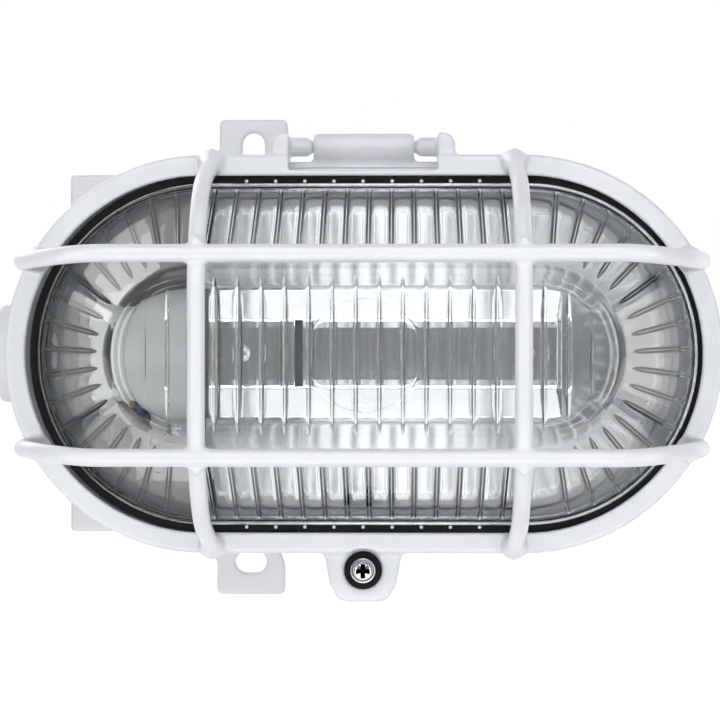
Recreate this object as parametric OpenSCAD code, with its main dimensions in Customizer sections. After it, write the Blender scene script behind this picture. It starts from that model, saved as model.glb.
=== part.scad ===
// Oval bulkhead light with a ribbed glass lens and a hinged cage guard.
// Millimetres. The back rests on the wall at y = 0, the front faces -y and z points up.
// Each piece is drawn in a face frame (x right, y up, z away from the wall),
// and stand() turns it upright.

/* [Guard] */
// Length of the guard ring over its front edge
guard_len = 202; // [194:1:212]
// Height of the guard ring over its front edge
guard_h = 112; // [110:1:118]
// Distance from the wall to the front of the bars
guard_depth = 97; // [95:0.5:104]
// Diameter of the cage bars
bar_d = 4.8; // [4.2:0.1:5.6]
// Distance of the two upright bars from the middle
upright_x = 42.4; // [38:0.2:45]
// Distance of the two cross bars from the middle
crossbar_y = 26.5; // [23:0.5:30]
// Bend radius of the upright bars
upright_bend = 34; // [28:1:36]
// Bend radius of the cross bars
crossbar_bend = 26; // [20:1:28]
// Inward lean of the upright bars, in degrees
upright_lean = 15; // [12:0.5:18]

/* [Hinge] */
// Width of the gap in the ring between the two hinge arms
hinge_gap = 42; // [40:0.5:46]
// Length of the knuckle on the base
knuckle_len = 28.8; // [26:0.2:30]
// Diameter of the hinge pins
pin_d = 5.6; // [5:0.1:6]
// Diameter of the pin noses inside the knuckle
nose_d = 3.4; // [2.8:0.1:3.8]

/* [Lens] */
// Clear space between the glass and the bars in front of it
bar_gap = 6.2; // [4:0.2:9]
// Thickness of the glass
glass_t = 3.2; // [2.6:0.1:3.6]
// Slope of the lens sides, in degrees
lens_slope = 60; // [58:0.5:62]
// Radius of the lens shoulder
lens_round = 16; // [14:0.5:17]
// Spacing of the straight lens ribs
rib_pitch = 6.2; // [5.6:0.1:6.8]
// Angle between the ribs round the lens ends
rib_angle = 10.5; // [9.5:0.25:11]
// Width of one lens rib
rib_w = 1.2; // [0.8:0.1:1.6]
// Height of one lens rib
rib_h = 0.9; // [0.6:0.1:1.2]
// Side play of the glass in its seat
lens_play = 1.3; // [0.6:0.1:1.6]

/* [Base] */
// Distance from the wall to the rim that takes the gasket
base_depth = 37; // [36:0.5:39]
// Thickness of the moulded walls
base_wall = 2.6; // [2:0.1:3]
// Thickness of the floor
floor_t = 3; // [2.4:0.2:3.6]
// Width of the two mounting ears
ear_w = 20.5; // [18:0.5:24]
// Thickness of the mounting ears
ear_t = 4; // [3:0.5:6]
// Sideways position of the mounting ears
ear_x = -33.5; // [-38:0.5:-33]
// Outer diameter of the cable entry
entry_d = 28.7; // [26:0.5:29.5]
// Diameter of the cable hole in the grommet
cable_d = 8.5; // [6:0.5:11]

/* [Lampholder] */
// Diameter of the lampholder
holder_d = 38; // [36:0.5:40]
// Length of the lampholder
holder_len = 27; // [25:0.5:30]
// Inner diameter of the screw shell
shell_d = 26.6; // [26.5:0.1:27]
// Distance from the wall to the lamp axis
lamp_z = 38; // [36.5:0.5:39]

/* [Reflector] */
// Length of the trough in the reflector tray
reflector_len = 109; // [100:1:114]
// Width of the flat of the trough
reflector_flat = 22; // [18:0.5:26]
// Width of each sloping side of the trough
reflector_side = 8; // [6:0.5:9]
// Thickness of the reflector sheet
sheet_t = 0.8; // [0.6:0.1:1.2]

/* [Screws] */
// Thread diameter of the closing screw
screw_d = 4; // [3.5:0.1:4.5]
// Head diameter of the closing screw
screw_head_d = 7.1; // [6.8:0.1:8]
// Outer diameter of the washer under the closing screw
washer_d = 10.7; // [10:0.1:11.5]
// Shank diameter of the small fixing screws
small_d = 3; // [2.6:0.1:3.2]

/* [Hidden] */
$fn = 96;
eps = 0.02;
gap = 0.3;
fit = 0.05;

// Rounds a length to a thousandth, so that joined ends meet
function snap(v) = round(v * 1000) / 1000;

// The oval that every rim follows
ring_r = guard_h / 2;
spine = (guard_len - guard_h) / 2;

// Heights above the wall
rim_h = 7;
step_z = base_depth - rim_h;
gasket_t = 3;
flange_z = base_depth + gasket_t;
flange_t = 3.5;
flange_top = flange_z + flange_t;
seat_gap = 0.1;
web_t = 2.4;
web_z = flange_top + seat_gap;
ring_front = web_z + web_t;
skirt_gap = 1;
skirt_z = step_z + skirt_gap;
pad_h = 3;
pad_z = floor_t + pad_h;
bar_r = bar_d / 2;
lens_front = guard_depth - bar_d - bar_gap;

// Radii of the rims, out from the spine
ring_w = 5.8;
ring_wall = 2.1;
ring_inner_r = ring_r - ring_w;
skirt_draft = 1.3;
seat_r = ring_r - ring_wall;
seat_draft = 0.4;
flange_r = seat_r - lens_play;
flange_w = 5.3;
lens_r = flange_r - flange_w;
spigot_w = 4.4;
spigot_h = 2;
spigot_out = 0.9;
spigot_r = lens_r + spigot_out;
gasket_w = 2.1;
gasket_r = spigot_r + gasket_w;
rim_gap = 0.7;
rim_r = seat_r - rim_gap;
rim_w = 5.2;
cavity_r = rim_r - rim_w;
body_step = 2.2;
body_r = rim_r + body_step;
edge_r = 1;

// Lens section and marks
lens_shift = lens_play - gap;
lens_c = [lens_r - (lens_round + (lens_front - lens_round - flange_top) * cos(lens_slope)) / sin(lens_slope),
          lens_front - lens_round];
rib_count = floor(spine / rib_pitch);
end_ribs = floor(85 / rib_angle);
front_ribs = floor((spine + lens_round) / rib_pitch) + 1;
mark_r = 16.2;
mark_w = 0.4;
mark_h = 0.12;
pip_pitch = 8.2;
pip_count = 4;
pip_r = 0.6;
pip_h = 0.35;

// Hinge
hinge_out = 3.5;
hinge_y = ring_r + hinge_out;
hinge_z = step_z;
arm_w = 5;
arm_over = 0.1;
arm_r = pin_d / 2 + arm_over;
arm_round = 3.6;
strip_w = 1.4;
pin_gap = 0.6;
pin_chamfer = 1;
pin_end = knuckle_len / 2 + pin_gap;
nose_len = 4;
knuckle_wall = 2.1;
knuckle_r = nose_d / 2 + fit + knuckle_wall;
knuckle_drop = 17;
knuckle_lip = 4;

// Cage bars
bar_z = guard_depth - bar_r;
foot_sink = 0.8;
bar_foot = ring_front - foot_sink;
bar_inset = 0.5;
cross_x = snap(spine + sqrt(ring_r * ring_r - crossbar_y * crossbar_y) - bar_r - bar_inset);
leg_out = 0.4;
leg_y = ring_r - bar_r + leg_out;
lean_z = snap(bar_z - upright_bend * (1 - sin(upright_lean)));
lean_y = snap(leg_y - (lean_z - bar_foot) * tan(upright_lean));
upright_c = snap(lean_y - upright_bend * cos(upright_lean));
joint_r = bar_r + fit;
flare = 1.6;
flare_h = 8;
crossing_over = 1.8;
crossing_under = 1.4;
crossing_w = bar_d + crossing_over;
crossing_h = bar_d - crossing_under;
nib_x = 32;
nib_w = 6;
nib_h = 1.3;
nib_reach = 2;

// Closing screw, its lug and its boss
screw_out = 4.8;
screw_y = -(ring_r + screw_out);
lug_drop = 9;
lug_y = screw_y - lug_drop;
lug_w = 11.4;
lug_taper = 3;
lug_round = 4;
lug_step = 1.4;
lug_front = ring_front - lug_step;
lug_gap = 0.4;
lug_back = base_depth + lug_gap;
washer_t = 1.2;
washer_sink = 0.6;
washer_play = 0.8;
washer_z = lug_front - washer_sink;
head_z = washer_z + washer_t;
head_t = 2.6;
screw_len = 20;
screw_arm = 2.2;
boss_wall = 3.4;
insert_t = 1.2;
insert_r = screw_d / 2 + insert_t;
insert_waist = 0.4;
insert_len = 10;
insert_gap = 6;
boss_r = insert_r + boss_wall;
boss_gap = 0.5;
boss_z = base_depth - boss_gap;

// Base plates and ears
foot_reach = 43.5;
foot_x = -(spine + foot_reach);
foot_in = 2.5;
foot_y = ring_r - foot_in;
foot_t = 5;
foot_round = 1;
ear_out = 14.1;
ear_reach = ring_r + ear_out;
lower_out = 16.5;
lower_reach = ring_r + lower_out;
lower_shift = 0.8;
lower_x = ear_x - lower_shift;
ear_round = 1.6;
ear_rim = 3.9;
slot_w = 6.7;
slot_len = 10;
slot_y = ear_reach - ear_rim - slot_len / 2;
lower_slot_w = 6.6;
lower_slot_len = 9.4;
lower_rim = 6.5;
lower_slot_y = lower_rim + lower_slot_w / 2 - lower_reach;
root_r = 3;
root_out = 2.8;
lower_root_out = 4.2;
bevel_w = 1.4;
bevel_l = 3.9;
bevel_out = 7.7;
bevel_slope = bevel_w / bevel_l;

// Cable entry
entry_out = 5.7;
entry_gap = 0.2;
entry_x = -(spine + ring_r + entry_out);
entry_z = step_z - entry_d / 2 - entry_gap;
entry_wall = 4;
entry_room = 2.75;
entry_hole_r = cable_d / 2 + entry_room;
grommet_r = entry_d / 2 - entry_wall;
grommet_len = 10;
grommet_set = 0.5;
grommet_x = entry_x + grommet_set;
grommet_rim = 2;
grommet_skin = 3;

// Lampholder and its bracket
mouth_in = 2;
mouth_x = -(spine + mouth_in);
holder_x = mouth_x - holder_len;
holder_r = holder_d / 2;
holder_neck = 2;
neck_len = 6;
holder_chamfer = 1;
groove_r = 0.9;
groove_pitch = 3.63;
groove_count = 4;
groove_start = 3;
shell_t = 1.5;
shell_r = shell_d / 2 + shell_t;
shell_inset = 0.5;
holder_floor = 6;
bore_len = holder_len - holder_floor;
shell_room = 3;
shell_len = bore_len - shell_room;
button_r = 5;
button_h = 1;
tip_r = 2;
tip_slope = 1.4;
tip_h = 2.6;
plate_t = 1.5;
bracket_w = 26;
bracket_over = 8;
bracket_h = lamp_z + bracket_over;
bracket_len = 12;
bracket_screw_in = 7;
bracket_screw_x = holder_x - bracket_screw_in;
screw_spread = 8;
holder_screw_up = 3;
holder_screw_z = lamp_z + holder_screw_up;

// Reflector
reflector_under = 4;
reflector_x = mouth_x - reflector_under;
side_angle = 35;
flat_y = reflector_flat / 2;
side_tip = [flat_y + reflector_side * cos(side_angle), reflector_side * sin(side_angle)];
bend_in = sheet_t * tan(side_angle / 2);
trough_lip = 2;
trough_end = reflector_x + reflector_len;
tray_gap = 0.8;
tray_in = 6;
window_w = 3.6;
window_edge = 1;
window_in = 30;
window_x = reflector_x + window_in;
reflector_end = 10;
reflector_screw_x = [mouth_x + reflector_end, trough_end - reflector_end];
pad_r = 5;

// Leads
lead_r = 1.1;
lead_bend = 4;
lead_in = 2.5;
lead_x = holder_x + lead_in;
live_low = 4;
neutral_low = 12;
lead_low = [live_low, neutral_low];
lead_top = [lamp_z - live_low, lamp_z - neutral_low];
lead_seat = 3.5;
lead_room = 0.25;
neck_r = holder_r - holder_neck;
lead_end = [for (low = lead_low) lead_seat - sqrt(neck_r * neck_r - low * low)];

// Terminal block
block_l = 20;
block_w = 18;
block_h = 13;
block_x = lead_x + lead_bend;
block_mid = block_x + block_l / 2;
block_out = 10;
block_y = -(holder_r + block_out);
block_z = pad_z + block_h;
clamp_r = 2.6;
clamp_bore_r = 1.6;
clamp_len = 14;
clamp_spread = 4.6;
clamp_y = [block_y - clamp_spread, block_y + clamp_spread];
clamp_up = 4.5;
clamp_z = pad_z + clamp_up;
grub_in = 3.5;
grub_x = block_mid - grub_in;
grub_len = 6;
grub_slot = 0.6;

// Small screws
small_r = small_d / 2;
small_head_r = 2.7;
small_head_t = 1.8;
small_len = 4.8;
small_arm = 1.7;
hole_r = small_r + gap;
pilot_r = small_r + fit;

module stand() {
  rotate([90, 0, 0]) children();
}

// Oval outline, r out from the spine
module oval(r) {
  for (s = [-1, 1]) {
    translate([s * spine, 0]) circle(r);
  }
  square([2 * spine, 2 * r], center = true);
}

// Ring or dome that follows the oval, from a section in radius and height
module oval_sweep() {
  for (s = [0, 180]) {
    rotate([0, 0, s]) translate([spine, 0, 0]) rotate([0, 0, -90]) rotate_extrude(angle = 180) children();
    rotate([0, 0, s]) translate([-spine, 0, 0]) rotate([90, 0, 90]) linear_extrude(2 * spine) children();
  }
}

// Rectangle with rounded corners, centred
module rounded(w, h, r) {
  square([w, h - 2 * r], center = true);
  square([w - 2 * r, h], center = true);
  for (sx = [-1, 1], sy = [-1, 1]) {
    translate([sx * (w / 2 - r), sy * (h / 2 - r)]) circle(r);
  }
}

// Round bar along x
module x_bar(r, x0, x1) {
  translate([x0, 0, 0]) rotate([0, 90, 0]) cylinder(r = r, h = x1 - x0);
}

// Screw with a cross recess, head seat at the origin and shank down
module cross_screw(head_r, head_h, shank_r, shank_h, arm) {
  difference() {
    union() {
      intersection() {
        cylinder(r = head_r, h = head_h);
        translate([0, 0, head_h - 1.9 * head_r]) sphere(1.9 * head_r);
      }
      translate([0, 0, -shank_h]) cylinder(r = shank_r, h = shank_h + eps);
    }
    for (a = [0, 90]) {
      rotate([0, 0, a]) translate([-arm, -arm / 4, head_h / 2]) cube([2 * arm, arm / 2, head_h]);
    }
  }
}

module small_screw() {
  cross_screw(small_head_r, small_head_t, small_r, small_len, small_arm);
}

// Section of the lens, shrunk by t from its outer face
module dome_section(t, bottom) {
  n = [sin(lens_slope), cos(lens_slope)];
  r = lens_round - t;
  intersection() {
    union() {
      polygon([[0, bottom],
               [lens_r - t / n[0], bottom],
               [lens_r - t / n[0], flange_top],
               lens_c + r * n,
               lens_c + [0, r],
               [0, lens_front - t]]);
      translate(lens_c) circle(r);
    }
    translate([0, bottom]) square([2 * ring_r, lens_front]);
  }
}

// Section of the layer that the side ribs are cut from
module side_rib_section() {
  n = [sin(lens_slope), cos(lens_slope)];
  u = [-n[1], n[0]];
  start = [lens_r, flange_top] + 0.5 * u;
  intersection() {
    dome_section(glass_t / 2, flange_z);
    polygon([start,
             start + lens_front * u,
             start + lens_front * u - (glass_t + rib_h) * n,
             start - (glass_t + rib_h) * n]);
  }
}

// Section of the layer that the front ribs are cut from
module front_rib_section() {
  intersection() {
    dome_section(glass_t / 2, flange_z);
    translate([0, lens_front - glass_t - rib_h]) square([ring_r, glass_t + rib_h]);
  }
}

module side_ribs() {
  intersection() {
    oval_sweep() side_rib_section();
    union() {
      for (k = [-rib_count : rib_count]) {
        translate([k * rib_pitch - rib_w / 2, -ring_r, flange_z]) cube([rib_w, 2 * ring_r, lens_front]);
      }
      for (s = [0, 180], k = [-end_ribs : end_ribs]) {
        rotate([0, 0, s]) translate([spine, 0, 0]) rotate([0, 0, k * rib_angle])
          translate([lens_round / 2, -rib_w / 2, flange_z]) cube([ring_r, rib_w, lens_front]);
      }
    }
  }
}

module front_ribs() {
  intersection() {
    oval_sweep() front_rib_section();
    for (k = [-front_ribs : front_ribs - 1]) {
      translate([(k + 0.5) * rib_pitch - rib_w / 2, -ring_r, flange_z]) cube([rib_w, 2 * ring_r, lens_front]);
    }
  }
}

module glass_lens() {
  color([0.86, 0.9, 0.92, 0.5]) stand() translate([lens_shift, 0, 0]) {
    oval_sweep() difference() {
      union() {
        dome_section(0, flange_z);
        translate([spigot_r - spigot_w, flange_z]) square([flange_r - spigot_r + spigot_w, flange_t]);
        translate([spigot_r - spigot_w, flange_z - spigot_h]) square([spigot_w, spigot_h + eps]);
      }
      dome_section(glass_t, flange_z - spigot_h - 1);
    }
    side_ribs();
    front_ribs();
    translate([0, 0, lens_front - glass_t / 2]) difference() {
      cylinder(r = mark_r, h = glass_t / 2 + mark_h);
      translate([0, 0, -eps]) cylinder(r = mark_r - mark_w, h = glass_t);
    }
    for (s = [-1, 1], k = [-pip_count : pip_count]) {
      translate([k * pip_pitch, s * (gasket_r - gasket_w / 2), flange_top - eps])
        cylinder(r = pip_r, h = pip_h);
    }
  }
}

module lens_gasket() {
  color([0.08, 0.08, 0.09]) stand() translate([lens_shift, 0, 0])
    oval_sweep() translate([spigot_r + fit, base_depth]) square([gasket_r - spigot_r - fit, gasket_t]);
}

// Section of the guard ring
module ring_section() {
  polygon([[ring_inner_r, web_z],
           [ring_inner_r, ring_front - edge_r / 2],
           [ring_inner_r + edge_r / 2, ring_front],
           [ring_r - edge_r, ring_front],
           [ring_r, ring_front - edge_r],
           [ring_r + skirt_draft, skirt_z],
           [seat_r + seat_draft, skirt_z],
           [seat_r, web_z]]);
  translate([ring_r - edge_r, ring_front - edge_r]) circle(edge_r);
}

// Upright bar in the plane of y and z: leaning legs, bends and a straight front
module upright_bar(x) {
  for (s = [0, 1]) {
    translate([x, 0, 0]) mirror([0, s, 0]) {
      translate([0, lean_y, lean_z]) rotate([180 + upright_lean, 0, 0])
        cylinder(r = bar_r, h = (lean_z - bar_foot) / cos(upright_lean));
      translate([0, upright_c, bar_z - upright_bend]) rotate([90, 0, 90]) rotate([0, 0, upright_lean])
        rotate_extrude(angle = 90 - upright_lean) translate([upright_bend, 0]) circle(bar_r);
      translate([0, -eps, bar_z]) rotate([-90, 0, 0]) cylinder(r = bar_r, h = upright_c + eps);
      translate([0, lean_y, lean_z]) sphere(joint_r);
      translate([0, upright_c, bar_z]) sphere(joint_r);
      translate([0, leg_y, bar_foot]) rotate([upright_lean, 0, 0])
        cylinder(r1 = bar_r + flare, r2 = bar_r, h = flare_h);
    }
  }
}

// Cross bar in the plane of x and z: legs, bends and a straight front
module cross_bar(y) {
  for (s = [0, 1]) {
    translate([0, y, 0]) mirror([s, 0, 0]) {
      translate([cross_x, 0, bar_foot]) cylinder(r = bar_r, h = bar_z - crossbar_bend - bar_foot);
      translate([cross_x - crossbar_bend, 0, bar_z - crossbar_bend]) rotate([90, 0, 0])
        rotate_extrude(angle = 90) translate([crossbar_bend, 0]) circle(bar_r);
      translate([0, 0, bar_z]) x_bar(bar_r, -eps, cross_x - crossbar_bend);
      translate([cross_x, 0, bar_foot]) cylinder(r1 = bar_r + flare, r2 = bar_r, h = flare_h);
    }
  }
}

// Small web that fills the corners where two bars cross
module crossing_web(x, y) {
  translate([x, y, bar_z - bar_r]) linear_extrude(crossing_h) rotate([0, 0, 45])
    square(crossing_w, center = true);
}

module lug_outline() {
  lug_flat = lug_w - lug_taper - lug_round;
  intersection() {
    polygon([[-lug_w, -seat_r - seat_draft],
             [lug_w, -seat_r - seat_draft],
             [lug_w - lug_taper, lug_y],
             [lug_taper - lug_w, lug_y]]);
    union() {
      translate([-ring_r, lug_y + lug_round]) square(2 * ring_r);
      translate([-lug_flat, lug_y]) square([2 * lug_flat, ring_r]);
      for (s = [-1, 1]) {
        translate([s * lug_flat, lug_y + lug_round]) circle(lug_round);
      }
    }
  }
}

// Hinge arm with its pin, on the right or mirrored to the left
module hinge_arm(left) {
  arm_top = ring_front - edge_r;
  mirror([left, 0, 0]) {
    translate([hinge_gap / 2, 0, 0]) intersection() {
      rotate([90, 0, 90]) linear_extrude(arm_w) {
        translate([hinge_y, hinge_z]) circle(arm_r);
        translate([hinge_y - arm_r, hinge_z]) square([2 * arm_r, arm_top - hinge_z]);
        translate([ring_r - edge_r, skirt_z]) square([hinge_out + edge_r, arm_top - skirt_z]);
      }
      linear_extrude(guard_depth) {
        square([arm_w, hinge_y + arm_r - arm_round]);
        square([arm_w - arm_round, hinge_y + arm_r]);
        translate([arm_w - arm_round, hinge_y + arm_r - arm_round]) circle(arm_round);
      }
    }
    translate([0, hinge_y, hinge_z]) {
      x_bar(pin_d / 2, pin_end + pin_chamfer, hinge_gap / 2 + 1);
      translate([pin_end, 0, 0]) rotate([0, 90, 0])
        cylinder(r1 = pin_d / 2 - pin_chamfer, r2 = pin_d / 2, h = pin_chamfer);
      x_bar(nose_d / 2, pin_end - nose_len, pin_end + 1);
    }
  }
}

module guard() {
  color([0.93, 0.93, 0.95]) stand() {
    difference() {
      union() {
        oval_sweep() ring_section();
        translate([0, 0, lug_back]) linear_extrude(lug_front - lug_back) lug_outline();
      }
      translate([-hinge_gap / 2, ring_inner_r + strip_w, 0]) cube([hinge_gap, ring_r, guard_depth]);
      translate([-boss_r - skirt_gap, -ring_r - boss_r, 0])
        cube([2 * (boss_r + skirt_gap), 2 * boss_r, lug_back]);
      translate([0, screw_y, 0]) cylinder(r = screw_d / 2 + gap, h = guard_depth);
      translate([0, screw_y, washer_z]) cylinder(r = washer_d / 2 + washer_play, h = guard_depth);
    }
    for (s = [0, 1]) {
      hinge_arm(s);
    }
    for (s = [-1, 1]) {
      upright_bar(s * upright_x);
      cross_bar(s * crossbar_y);
      for (t = [-1, 1]) {
        crossing_web(s * upright_x, t * crossbar_y);
      }
    }
    for (s = [-1, 1], t = [0, 1]) {
      mirror([0, t, 0]) translate([s * nib_x - nib_w / 2, seat_r - nib_reach, flange_z - nib_h - seat_gap])
        cube([nib_w, nib_reach + ring_wall / 2, nib_h]);
    }
  }
}

// Ear with a fillet at the root of its outer edge
module ear(w, reach, root) {
  translate([0, reach / 2]) rounded(w, reach, ear_round);
  difference() {
    translate([-w / 2 - root_r, 0]) square([w / 2, root + root_r]);
    translate([-w / 2 - root_r, root + root_r]) circle(root_r);
  }
}

// Slanted cut at the root of the lower ear's inner edge
module ear_bevel() {
  start = ring_r + bevel_out;
  polygon([[ear_w / 2, start],
           [ear_w / 2 + 1, start],
           [ear_w / 2 + 1, 0],
           [ear_w / 2 - start * bevel_slope, 0]]);
}

module slot(w, l) {
  square([w, l - w], center = true);
  for (s = [-1, 1]) {
    translate([0, s * (l - w) / 2]) circle(w / 2);
  }
}

// Knuckle with the web that carries it
module knuckle() {
  translate([-knuckle_len / 2, 0, 0]) rotate([90, 0, 90]) linear_extrude(knuckle_len) {
    translate([hinge_y, hinge_z]) circle(knuckle_r);
    polygon([[body_r - base_wall / 2, hinge_z - knuckle_drop],
             [body_r, hinge_z - knuckle_drop],
             [hinge_y + knuckle_r, hinge_z - knuckle_lip],
             [hinge_y + knuckle_r, hinge_z],
             [body_r - base_wall / 2, hinge_z]]);
  }
}

// Blind hole for a small screw whose thread starts at the height z
module pilot(x, y, z) {
  translate([x, y, z - small_len - seat_gap]) cylinder(r = pilot_r, h = small_len + pad_h);
}

module base_shell() {
  difference() {
    union() {
      linear_extrude(step_z) oval(body_r);
      linear_extrude(base_depth) oval(rim_r);
    }
    translate([0, 0, floor_t]) linear_extrude(base_depth) oval(cavity_r);
    translate([0, 0, -eps]) linear_extrude(step_z - rim_w + eps) difference() {
      oval(body_r - base_wall);
      oval(cavity_r + base_wall);
    }
  }
}

module base_pads() {
  for (x = reflector_screw_x) {
    translate([x, 0, floor_t - eps]) cylinder(r = pad_r, h = pad_h + eps);
  }
  translate([holder_x - bracket_len, -bracket_w / 2, floor_t - eps])
    cube([bracket_len, bracket_w, pad_h + eps]);
  translate([block_x, block_y - block_w / 2, floor_t - eps])
    cube([block_l, block_w, pad_h + eps]);
}

module entry_boss() {
  difference() {
    translate([0, 0, entry_z]) x_bar(entry_d / 2, entry_x, rim_w - spine - cavity_r);
    translate([0, 0, floor_t]) linear_extrude(base_depth) oval(cavity_r);
  }
}

// Square foot corners and the two ears, outside the body wall
module base_plates() {
  linear_extrude(foot_t) difference() {
    translate([foot_x / 2, 0]) rounded(-foot_x, 2 * foot_y, foot_round);
    oval(body_r - base_wall / 2);
  }
  linear_extrude(ear_t) difference() {
    union() {
      translate([ear_x, 0]) ear(ear_w, ear_reach, ring_r + root_out);
      mirror([0, 1]) translate([lower_x, 0]) difference() {
        ear(ear_w, lower_reach, ring_r + lower_root_out);
        ear_bevel();
      }
    }
    oval(body_r - base_wall / 2);
    translate([ear_x, slot_y]) slot(slot_w, slot_len);
    translate([lower_x, lower_slot_y]) rotate([0, 0, 90]) slot(lower_slot_w, lower_slot_len);
  }
}

module screw_boss() {
  difference() {
    union() {
      translate([0, screw_y, 0]) cylinder(r = boss_r, h = boss_z);
      translate([-boss_r, screw_y, 0]) cube([2 * boss_r, base_wall / 2 - screw_y - body_r, step_z]);
    }
    translate([0, screw_y, boss_z - insert_len]) cylinder(r = insert_r + fit, h = insert_len + 1);
    translate([0, screw_y, boss_z - insert_len - insert_gap]) cylinder(r = screw_d / 2 + gap, h = insert_len);
  }
}

module base_housing() {
  color([0.88, 0.88, 0.9]) stand() difference() {
    union() {
      base_shell();
      base_pads();
      base_plates();
      knuckle();
      entry_boss();
      screw_boss();
    }
    translate([0, hinge_y, hinge_z]) x_bar(nose_d / 2 + fit, -knuckle_len, knuckle_len);
    translate([0, 0, entry_z]) x_bar(grommet_r + fit, entry_x - 1, entry_x + grommet_len);
    translate([0, 0, entry_z]) x_bar(entry_hole_r, entry_x, rim_w - spine - cavity_r);
    for (x = reflector_screw_x) {
      pilot(x, 0, pad_z + sheet_t);
    }
    for (s = [-1, 1]) {
      pilot(bracket_screw_x, s * screw_spread, pad_z + plate_t);
    }
    pilot(block_mid, block_y, pad_z + seat_gap);
  }
}

module closing_screw() {
  color([0.8, 0.8, 0.82]) stand() translate([0, screw_y, head_z])
    cross_screw(screw_head_d / 2, head_t, screw_d / 2, screw_len, screw_arm);
}

module screw_washer() {
  color([0.06, 0.06, 0.07]) stand() translate([0, screw_y, washer_z]) difference() {
    cylinder(r = washer_d / 2, h = washer_t);
    translate([0, 0, -1]) cylinder(r = screw_d / 2 + gap, h = washer_t + 2);
  }
}

module threaded_insert() {
  color([0.78, 0.6, 0.28]) stand() translate([0, screw_y, boss_z - insert_len]) difference() {
    union() {
      cylinder(r = insert_r - insert_waist, h = insert_len);
      cylinder(r = insert_r, h = insert_len * 0.4);
      translate([0, 0, insert_len * 0.6]) cylinder(r = insert_r, h = insert_len * 0.4);
    }
    translate([0, 0, -1]) cylinder(r = screw_d / 2 + fit, h = insert_len + 2);
  }
}

module cable_grommet() {
  color([0.1, 0.1, 0.11]) stand() translate([0, 0, entry_z]) difference() {
    x_bar(grommet_r, grommet_x, entry_x + grommet_len);
    x_bar(cable_d / 2, grommet_x - 1, entry_x + grommet_len + 1);
    x_bar(cable_d / 2 + grommet_rim, grommet_x + grommet_skin, entry_x + grommet_len + 1);
  }
}

// Half of the trough's section, from its middle to its lip
module trough_half() {
  polygon([[-eps, 0],
           [flat_y, 0],
           side_tip,
           side_tip + [trough_lip, 0],
           side_tip + [trough_lip, sheet_t],
           side_tip + [-bend_in, sheet_t],
           [flat_y - bend_in, sheet_t],
           [-eps, sheet_t]]);
}

module trough_end_half() {
  polygon([[-eps, 0],
           [flat_y, 0],
           side_tip,
           side_tip + [0, sheet_t],
           [-eps, side_tip[1] + sheet_t]]);
}

// Oval sheet round the trough, cut off beside the lampholder
module tray_outline() {
  difference() {
    oval(cavity_r - tray_gap);
    translate([reflector_x + tray_in - 2 * guard_len, -ring_r]) square([2 * guard_len, 2 * ring_r]);
    translate([reflector_x, -side_tip[0] - trough_lip / 2])
      square([reflector_len - sheet_t / 2, 2 * side_tip[0] + trough_lip]);
  }
}

module reflector() {
  color([0.8, 0.81, 0.83]) stand() difference() {
    union() {
      translate([reflector_x, 0, pad_z]) rotate([90, 0, 90]) {
        linear_extrude(reflector_len) for (s = [0, 1]) {
          mirror([s, 0]) trough_half();
        }
        translate([0, 0, reflector_len - sheet_t]) linear_extrude(sheet_t) for (s = [0, 1]) {
          mirror([s, 0]) trough_end_half();
        }
      }
      translate([0, 0, pad_z + side_tip[1]]) linear_extrude(sheet_t) tray_outline();
    }
    for (x = reflector_screw_x) {
      translate([x, 0, 0]) cylinder(r = hole_r, h = base_depth);
    }
    translate([window_x, window_edge - flat_y, 0]) cube([window_w, 2 * (flat_y - window_edge), base_depth]);
  }
}

module reflector_screws() {
  color([0.75, 0.75, 0.77]) stand() for (x = reflector_screw_x) {
    translate([x, 0, pad_z + sheet_t]) small_screw();
  }
}

// Turns a shape drawn along z into the lamp axis, back of the holder at zero
module along_lamp() {
  translate([holder_x, 0, lamp_z]) rotate([0, 90, 0]) children();
}

module lampholder_body() {
  color([0.93, 0.92, 0.89]) stand() difference() {
    along_lamp() rotate_extrude() difference() {
      polygon([[0, 0],
               [neck_r, 0],
               [neck_r, neck_len],
               [holder_r, neck_len + holder_neck],
               [holder_r, holder_len - holder_chamfer],
               [holder_r - holder_chamfer, holder_len],
               [0, holder_len]]);
      translate([0, holder_len - bore_len]) square([shell_r + fit, bore_len + 1]);
    }
    for (s = [-1, 1]) {
      translate([0, s * screw_spread, holder_screw_z])
        x_bar(pilot_r, holder_x - 1, holder_x - plate_t + small_len + seat_gap);
    }
    for (k = [0, 1]) {
      translate([lead_x, lead_end[k] + lead_room, lead_top[k]]) rotate([90, 0, 0])
        cylinder(r = lead_r + lead_room, h = holder_d);
    }
  }
}

module lampholder_shell() {
  color([0.8, 0.66, 0.36]) stand() along_lamp() rotate_extrude() {
    difference() {
      translate([shell_d / 2, holder_len - shell_len]) square([shell_t, shell_len - shell_inset]);
      for (k = [0 : groove_count - 1]) {
        translate([shell_d / 2, holder_len - groove_start - k * groove_pitch]) circle(groove_r);
      }
    }
  }
}

module lampholder_contact() {
  color([0.78, 0.6, 0.3]) stand() along_lamp() translate([0, 0, holder_len - bore_len]) {
    cylinder(r = button_r, h = button_h);
    cylinder(r1 = tip_r + tip_slope, r2 = tip_r, h = tip_h);
  }
}

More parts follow.
